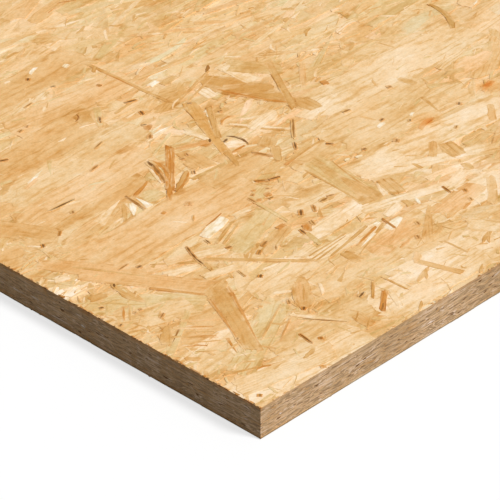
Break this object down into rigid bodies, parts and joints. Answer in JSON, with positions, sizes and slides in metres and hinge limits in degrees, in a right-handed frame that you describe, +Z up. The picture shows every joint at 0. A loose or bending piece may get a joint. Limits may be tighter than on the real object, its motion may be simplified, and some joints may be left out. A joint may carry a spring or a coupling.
{
  "type": "oriented strand board panel",
  "caption": "Flat rectangular panel of pressed and glued wood strands, with square sawn edges, for sheathing, decking and packing.",
  "frame": {"origin": "centre of the underside of the panel, on the surface that it lies on", "axes": "+X along the length, which is the main direction of the face strands, +Y across the width, +Z up through the thickness"},
  "size_m": [2.5, 1.25, 0.022],
  "materials": {
    "strand_board": "unsanded, matt, pale honey strands with tan and amber ones among them"
  },
  "bodies": {
    "root": {"osb_panel": "strand_board"}
  },
  "joints": []
}
